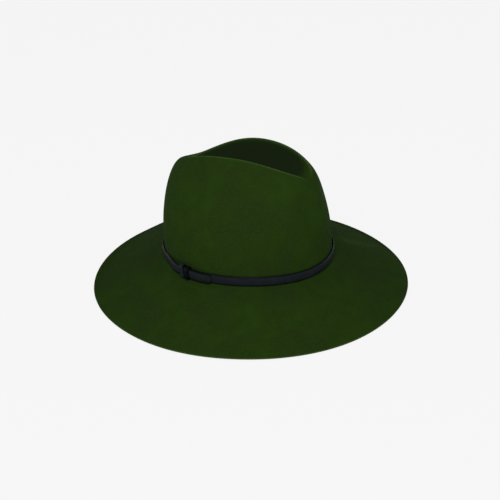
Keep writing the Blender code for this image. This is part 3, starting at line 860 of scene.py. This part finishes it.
class FEDORA_OT_strap(FedoraOperator):
    """Make the leather strap: a cushioned section carried once round and past itself"""

    bl_idname = "fedora.strap"
    bl_label = "Leather strap"

    def execute(self, context):
        hat = self.hat
        strap = hat.strap
        angle = np.linspace(strap.start, strap.start + 2 * np.pi + strap.overlap, STRAP_RINGS)
        climb = np.clip((angle - strap.start - 2 * np.pi) / strap.ramp + 1, 0, 1)
        climb = climb * climb * (3 - 2 * climb) * (strap.thick + strap.layer_gap)
        across, upright = super_section(0.5, 0.5, *STRAP_POWERS, STRAP_AROUND)

        # Both ends are cut to a half-round tongue: the section shrinks towards each tip.
        path, _ = oval(hat.crown, angle, strap.gap + strap.thick)
        run = np.concatenate([[0], np.cumsum(np.linalg.norm(np.diff(path, axis=0), axis=1))])
        from_end = np.minimum(run, run[-1] - run)
        tongue = np.sqrt(1 - (1 - np.clip(from_end / TONGUE, 0, 1)) ** 2)
        tongue = np.maximum(tongue, TONGUE_TIP)
        out = strap_stand_off(strap, angle) + climb + strap.thick / 2
        grow = out[:, None] + across * strap.thick * np.maximum(tongue, TONGUE_THIN)[:, None]
        points = np.empty((*grow.shape, 3))
        points[..., :2], _ = oval(hat.crown, angle[:, None], grow)
        lift = hat.crown.stand + break_height(hat.crown, angle) + strap.low + strap.height / 2
        points[..., 2] = lift[:, None] + upright * strap.height * tongue[:, None]

        look = shared_look(strap_leather, "strap_leather", hat.colours)
        piece = capped_tube("leather_strap", points, look, CRISP_LEATHER)
        to_edge = np.abs(np.broadcast_to(upright * 2, grow.shape))
        set_attribute(piece, "to_edge", with_tips(to_edge, 1, 1))
        girth = np.cumsum(np.hypot(np.diff(across, append=across[0]), np.diff(upright, append=0)))
        along = np.broadcast_to(run[:, None], grow.shape)
        wide = np.broadcast_to(girth * strap.height, grow.shape)
        set_uv(piece, with_tips(along, 0, run[-1]), with_tips(wide, 0, 0))
        self.join_frame(piece, "band", "hat_band", "leather")
        return {"FINISHED"}


KNOT_RINGS, KNOT_AROUND = 180, 24
KNOT_PATH = 2401             # points along the path it is wound on, before even spacing
KNOT_POWERS = (4.0, 1.8, 2.2)    # of its section: flat inside, cushioned outside, and across
KNOT_WALL = 0.0010           # leather against the felt, where it is pared thin
KNOT_GAP, KNOT_RISE = 0.0003, 0.0007   # air before and behind the strap, and over and under it
KNOT_SQUARE = 4.0            # power of the superellipse it is wound along
TURN_WIDE, TURN_NARROW = 0.50, 0.06    # a turn's share of the knot's length, less in the second
TURN_AT, TURN_STEP = -0.25, 0.52       # the first turn's middle, and the step to the second's
TURN_FILL = 0.96             # share of a turn's room that its leather fills
SLANT = 0.0011               # how far the second turn leans over
SLIMMER = 0.75               # how much less padded it is
ON_TOP = 0.0008              # how much thicker it is over the strap's upper edge
STEP_OVER = 0.5              # radians of winding in which it steps from turn to turn
TURN_PAINTED_SHADE = 0.93             # painted shade: the first turn's face is nearly as dark as the strap's edges


class FEDORA_OT_knot(FedoraOperator):
    """Make the knot: one leather strip wound twice round both layers of the strap"""

    bl_idname = "fedora.knot"
    bl_label = "Leather knot"

    def execute(self, context):
        hat = self.hat
        strap = hat.strap
        side_off = hat.crown.side_radius - hat.crown.width / 2
        wall = KNOT_WALL
        inner = hat.crown.side_radius + strap.gap + strap.room - KNOT_GAP - wall / 2
        outer = inner + 2 * strap.thick + strap.layer_gap + 2 * KNOT_GAP + wall
        half_out = (outer - inner) / 2
        half_up = strap.height / 2 + KNOT_RISE + wall / 2

        # The path: a rounded rectangle travelled twice, starting and ending against the felt.
        turn = np.linspace(-np.pi, 3 * np.pi, KNOT_PATH)
        c, s = np.cos(turn), np.sin(turn)
        out = half_out * np.sign(c) * np.abs(c) ** (2 / KNOT_SQUARE)
        up = half_up * np.sign(s) * np.abs(s) ** (2 / KNOT_SQUARE)
        run = np.concatenate([[0], np.cumsum(np.hypot(np.diff(out), np.diff(up)))])
        at = np.linspace(0, run[-1], KNOT_RINGS)
        out, up, turned = np.interp(at, run, out), np.interp(at, run, up), np.interp(at, run, turn)
        normal_out, normal_up = np.gradient(up, at), -np.gradient(out, at)
        size = np.hypot(normal_out, normal_up)
        normal_out, normal_up = normal_out / size, normal_up / size
        # On the felt side, out of sight, the strip steps over from the first turn to the second.
        # The first turn is padded out; the second lies lower and slants.
        second = np.clip((turned - np.pi) / STEP_OVER + 0.5, 0, 1)
        wide = strap.knot_length * (TURN_WIDE - TURN_NARROW * second)
        middle = strap.knot_length * (TURN_AT + TURN_STEP * second) + SLANT * up / half_up * second
        swell = 1 - SLIMMER * second * (up > -half_up / 2)
        thick = wall + (strap.knot_thick - wall) * np.clip(normal_out, 0, 1) * swell
        thick = thick + ON_TOP * second * np.clip(normal_up, 0, 1)

        across, along = super_section(0.5, 0.5, *KNOT_POWERS, KNOT_AROUND)
        lift = (across + 0.5)[None, :] * thick[:, None] - wall / 2
        radius = (inner + outer) / 2 + out[:, None] + normal_out[:, None] * lift
        height = up[:, None] + normal_up[:, None] * lift
        placed = middle[:, None] + along[None, :] * wide[:, None] * TURN_FILL
        angle = strap.knot_at + placed / ((inner + outer) / 2)
        lifted = hat.crown.stand + strap.low + strap.height / 2
        points = np.stack(
            [side_off - radius * np.cos(angle), radius * np.sin(angle), lifted + height], -1
        )
        look = shared_look(strap_leather, "strap_leather", hat.colours)
        piece = capped_tube("leather_knot", points, look, CRISP_LEATHER, turned=False)
        # The first turn's face takes the edge colour: painted shade in the knot.
        to_edge = np.maximum(np.abs(along[None, :] * 2), TURN_PAINTED_SHADE * (1 - second[:, None]))
        set_attribute(piece, "to_edge", with_tips(to_edge, 1, 1))
        u = np.broadcast_to(at[:, None], radius.shape)
        v = along[None, :] * wide[:, None]
        set_uv(piece, with_tips(u, 0, at[-1]), with_tips(v, 0, 0))
        self.join_frame(piece, "keeper", "band_keeper", "leather")
        return {"FINISHED"}


def on_oval(hat, angle, grow, height):
    """Rings of points at offsets of the oval and heights over the break, one ring a direction."""
    points = np.empty((*grow.shape, 3))
    points[..., :2], _ = oval(hat.crown, angle[:, None], grow)
    points[..., 2] = hat.crown.stand + break_height(hat.crown, angle)[:, None] + height
    return points


def leaning(hat, grow, height):
    """An offset of the oval moved in as the sweatband leans, at a height over the break."""
    return grow - hat.sweatband.lean * (height - SWEAT_LOW) / hat.sweatband.height


RIBBON_POWERS = (3.0, 3.0, 9.0)  # of its section: inside, outside and upwards
SEWN_GAP = 0.0004            # air between the sweatband and what is sewn on it
SWEAT_RINGS, SWEAT_AROUND = 720, 24
WAVY = 0.0003                # unevenness of the sweatband's upper edge
TAPE_RINGS, TAPE_AROUND = 28, 24
TAPE_AT, TAPE_UP, TAPE_THICK = 90, 0.0045, 0.0006
LABEL_RINGS, LABEL_AROUND = 40, 32
SIZE_LABEL_AT, WIDE_LABEL_AT = 116, 62   # degrees from +X
LABEL_MARGIN, LABEL_THICK = 0.002, 0.0005
BORDER_IN, BORDER_HALF = 0.0018, 0.0006   # the woven border's place and half width


def ribbon_patch(hat, name, angle, low, high, outer, thick, around, closed, look):
    """A ribbon standing on an offset of the oval: a thin superellipse section along angle."""
    across, upright = super_section(0.5, 0.5, *RIBBON_POWERS, around)
    low, high = np.broadcast_to(low, angle.shape), np.broadcast_to(high, angle.shape)
    height = ((low + high) / 2)[:, None] + upright[None, :] * (high - low)[:, None]
    grow = leaning(hat, outer - thick / 2 + across[None, :] * thick, height)
    points = on_oval(hat, angle, grow, height)
    radius = (hat.crown.length + hat.crown.width) / 4
    u, v = (angle - angle[0])[:, None] * radius + 0 * grow, points[..., 2]
    if closed:
        quads = tube_faces(len(angle), around, True)[:, ::-1]
        piece = as_closed_piece(name, points, quads, [], look)
        set_uv(piece, u, v)
    else:
        piece = capped_tube(name, points, look)
        set_uv(piece, with_tips(u, 0, 0), with_tips(v, 0, 0))
    return piece, points


class FEDORA_OT_sweatband(FedoraOperator):
    """Make the grosgrain sweatband, its stitches, the tape over its join and the two labels"""

    bl_idname = "fedora.sweatband"
    bl_label = "Sweatband and labels"

    def execute(self, context):
        hat = self.hat
        band = hat.sweatband
        outer = -(hat.crown.felt + SWEAT_GAP)
        inner = outer - band.thick
        top = SWEAT_LOW + band.height
        ribbon = shared_look(grosgrain, "grosgrain_ribbon", hat.colours)
        satin = shared_look(woven_label, "woven_label", hat.colours)

        angle = 2 * np.pi * np.arange(SWEAT_RINGS) / SWEAT_RINGS
        wavy = top - WAVY + WAVY * np.cos(5 * angle + 0.7) * np.cos(9 * angle)
        piece, _ = ribbon_patch(
            hat, "sweatband_ribbon", angle, SWEAT_LOW, wavy, outer, band.thick, SWEAT_AROUND,
            True, ribbon,
        )
        self.join_frame(piece, "hat", "sweatband", "ribbon")

        face = inner - SEWN_GAP
        half = band.tape / hat.crown.length
        angle = math.radians(TAPE_AT) + np.linspace(-half, half, TAPE_RINGS)
        piece, _ = ribbon_patch(
            hat, "join_tape", angle, SWEAT_LOW + TAPE_UP, top, face, TAPE_THICK, TAPE_AROUND,
            False, ribbon,
        )
        self.join_frame(piece, "hat", "sweatband_join", "ribbon")
        labels = (
            ("size_tag", "size_label", SIZE_LABEL_AT, band.size_width, band.size_height),
            ("care_tag", "care_label", WIDE_LABEL_AT, band.label_width, band.label_height),
        )
        high = top - LABEL_MARGIN
        for name, stands_for, at, width, height in labels:
            half = width / hat.crown.length
            angle = math.radians(at) + np.linspace(-half, half, LABEL_RINGS)
            piece, points = ribbon_patch(
                hat, name, angle, high - height, high, face, LABEL_THICK, LABEL_AROUND,
                False, satin,
            )
            self.weave_border(piece, points, width, height)
            self.join_frame(piece, "hat", stands_for, "label")
        return {"FINISHED"}

    def weave_border(self, piece, points, width, height):
        """A woven line a little inside the label's edge."""
        u = np.linspace(-0.5, 0.5, len(points))[:, None] * width
        v = points[..., 2] - points[..., 2].mean()
        from_edge = np.minimum(width / 2 - np.abs(u), height / 2 - np.abs(v))
        line = (np.abs(from_edge - BORDER_IN) < BORDER_HALF).astype(float)
        set_attribute(piece, "border", with_tips(line, 0, 0))


STITCH_RINGS, STITCH_AROUND = 12, 8      # rings to a stitch, and points round the thread
STITCH_PROUD, STITCH_SWING = 0.62, 0.75  # the thread's height: its mean, and its rise and fall
STITCH_OUT = 0.0002          # how far it bulges out at most
THREAD_LEAST = 0.55          # share of the thread's radius where it dips into the cloth
SEAM_UP, SEAM_WANDER = 0.0025, 0.00025   # seam over the ribbon's lower edge, and its wander


class FEDORA_OT_stitches(FedoraOperator):
    """Make the running stitches along the sweatband's lower edge"""

    bl_idname = "fedora.stitches"
    bl_label = "Stitches"

    def execute(self, context):
        hat = self.hat
        band = hat.sweatband
        girth = math.pi * (hat.crown.length + hat.crown.width) / 2
        stitches = int(round(girth / band.stitch / 2)) * 2
        rings = stitches * STITCH_RINGS
        angle = 2 * np.pi * np.arange(rings) / rings
        phase = 2 * np.pi * np.arange(rings) / STITCH_RINGS
        # The thread bulges out of the cloth for most of a stitch and dips in between two.
        proud = np.clip(STITCH_PROUD + STITCH_SWING * np.cos(phase), 0, 1)
        turn = 2 * np.pi * np.arange(STITCH_AROUND) / STITCH_AROUND
        inner = -(hat.crown.felt + SWEAT_GAP) - band.thick
        middle = inner - SEWN_GAP - band.thread - STITCH_OUT * proud
        slim = band.thread * (THREAD_LEAST + (1 - THREAD_LEAST) * proud)
        lift = SWEAT_LOW + SEAM_UP + SEAM_WANDER * np.sin(phase)
        height = lift[:, None] + slim[:, None] * np.sin(turn)
        grow = leaning(hat, middle[:, None] + slim[:, None] * np.cos(turn), height)
        points = on_oval(hat, angle, grow, height)
        look = shared_look(sewing_thread, "sewing_thread", hat.colours)
        quads = tube_faces(rings, STITCH_AROUND, True)[:, ::-1]
        piece = as_closed_piece("running_stitches", points, quads, [], look)
        u = np.broadcast_to((angle * girth / (2 * np.pi))[:, None], grow.shape)
        v = np.broadcast_to(turn * band.thread, grow.shape)
        set_uv(piece, u, v)
        self.join_frame(piece, "hat", "sweatband_stitching", "thread")
        return {"FINISHED"}


# ---------------------------------------------------------------- the stage
AIM_HEIGHT = 0.0703          # height over the table of the point the camera's angles turn about
# Each light's turn from the camera, angle over the table, distance and width.
KEY_LIGHT = (-0.1, math.radians(44), 1.9, 1.0)
TOP_LIGHT = (0.0, math.radians(80), 1.6, 1.6)
FLOOR_RADIUS, FLOOR_RINGS, FLOOR_AROUND = 6.0, 12, 48
FLOOR_DROP = 0.0002          # the floor lies this much under the hat, so the two don't touch
SENSOR = 36.0                # millimetres
NEAR, FAR = 0.01, 30.0       # the camera's clipping distances


class FEDORA_OT_stage(FedoraOperator):
    """Make the pale floor, the soft lights and the camera"""

    bl_idname = "fedora.stage"
    bl_label = "Stage"

    def execute(self, context):
        scene, hat = context.scene, self.hat
        stage = hat.stage
        floor = self.floor(hat)

        world = bpy.data.worlds.new("studio")
        world.use_nodes = True
        sky = world.node_tree.nodes["Background"]
        sky.inputs["Color"].default_value = (1.0, 1.0, 1.0, 1.0)
        sky.inputs["Strength"].default_value = stage.sky
        scene.world = world
        middle = Vector((OVAL_MIDDLE.x, OVAL_MIDDLE.y, AIM_HEIGHT))
        self.soft_light("key", middle, stage.azimuth, KEY_LIGHT, stage.key)
        self.soft_light("overhead", middle, stage.azimuth, TOP_LIGHT, stage.top)
        scene.camera = self.camera(stage, middle)
        scene.view_settings.view_transform = "Standard"
        return {"FINISHED"}

    def floor(self, hat):
        """A flat round sheet: radius grows evenly, direction goes once round."""
        radius = np.linspace(0.0, FLOOR_RADIUS, FLOOR_RINGS + 1)[1:, None]
        turn = 2 * np.pi * np.arange(FLOOR_AROUND) / FLOOR_AROUND
        ring = np.stack([radius * np.cos(turn), radius * np.sin(turn), 0 * radius * turn], -1)
        points = np.concatenate([ring.reshape(-1, 3), [[0.0, 0.0, 0.0]]])
        points[:, 2] = -FLOOR_DROP
        quads = tube_faces(FLOOR_RINGS, FLOOR_AROUND, False)[:, ::-1]
        centre = fan(FLOOR_RINGS * FLOOR_AROUND, np.arange(FLOOR_AROUND))
        look = shared_look(floor_paper, "floor_paper", hat.colours, hat.stage.floor_glow)
        return as_closed_piece("floor", points, quads, [centre], look)

    def soft_light(self, name, middle, azimuth, place, power):
        """A round lamp that faces the hat's middle, placed by its turn from the camera."""
        turned, elevation, distance, size = place
        data = bpy.data.lights.new(name, "AREA")
        data.shape, data.size, data.energy = "DISK", size, power
        light = bpy.data.objects.new(name, data)
        bpy.context.scene.collection.objects.link(light)
        back = self.backwards(azimuth + turned, elevation)
        light.location = middle + back * distance
        light.rotation_mode = "QUATERNION"
        light.rotation_quaternion = back.to_track_quat("Z", "Y")

    def camera(self, stage, middle):
        """Looks at the hat's middle from the side, rolled, then turned a little so that the
        middle lies where aim_right and aim_up say, in widths of the view from its middle."""
        data = bpy.data.cameras.new("camera")
        data.sensor_width, data.lens = SENSOR, stage.lens
        data.clip_start, data.clip_end = NEAR, FAR
        camera = bpy.data.objects.new("camera", data)
        bpy.context.scene.collection.objects.link(camera)
        back = self.backwards(stage.azimuth, stage.elevation)
        camera.location = middle + back * stage.distance
        off = stage.lens / data.sensor_width
        seen = Vector((stage.aim_right, stage.aim_up, -off)).normalized()
        turn = seen.rotation_difference(Vector((0, 0, -1)))
        roll = Quaternion((0, 0, 1), stage.roll)
        camera.rotation_mode = "QUATERNION"
        camera.rotation_quaternion = (-back).to_track_quat("-Z", "Y") @ roll @ turn
        return camera

    def backwards(self, azimuth, elevation):
        """From the hat towards something at that azimuth and elevation."""
        return Vector(
            (
                math.sin(azimuth) * math.cos(elevation),
                -math.cos(azimuth) * math.cos(elevation),
                math.sin(elevation),
            )
        )


class FEDORA_PT_panel(Panel):
    """Lists the hat's operators and settings"""

    bl_label = "Felt fedora"
    bl_idname = "FEDORA_PT_panel"
    bl_space_type = "VIEW_3D"
    bl_region_type = "UI"
    bl_category = "Fedora"

    def draw(self, context):
        layout = self.layout
        for operator in OPERATORS:
            layout.operator(operator.bl_idname)
        settings = context.scene.fedora
        for name in ("crown", "brim", "strap", "sweatband", "colours", "stage"):
            group = getattr(settings, name)
            box = layout.box()
            box.label(text=name.capitalize())
            for key in group.__annotations__:
                box.prop(group, key)


SETTINGS = (
    CrownSizes,
    BrimSizes,
    StrapSizes,
    SweatbandSizes,
    FedoraColours,
    StageSettings,
    FedoraSettings,
)
OPERATORS = (
    FEDORA_OT_felt,
    FEDORA_OT_strap,
    FEDORA_OT_knot,
    FEDORA_OT_sweatband,
    FEDORA_OT_stitches,
    FEDORA_OT_stage,
)


def register():
    for one in (*SETTINGS, *OPERATORS, FEDORA_PT_panel):
        bpy.utils.register_class(one)
    bpy.types.Scene.fedora = PointerProperty(type=FedoraSettings)


def unregister():
    del bpy.types.Scene.fedora
    for one in reversed((*SETTINGS, *OPERATORS, FEDORA_PT_panel)):
        bpy.utils.unregister_class(one)


def main():
    """Makes every piece and the stage."""
    register()
    bpy.ops.fedora.felt()
    bpy.ops.fedora.strap()
    bpy.ops.fedora.knot()
    bpy.ops.fedora.sweatband()
    bpy.ops.fedora.stitches()
    bpy.ops.fedora.stage()
    bpy.context.view_layer.update()


if __name__ == "__main__":
    main()
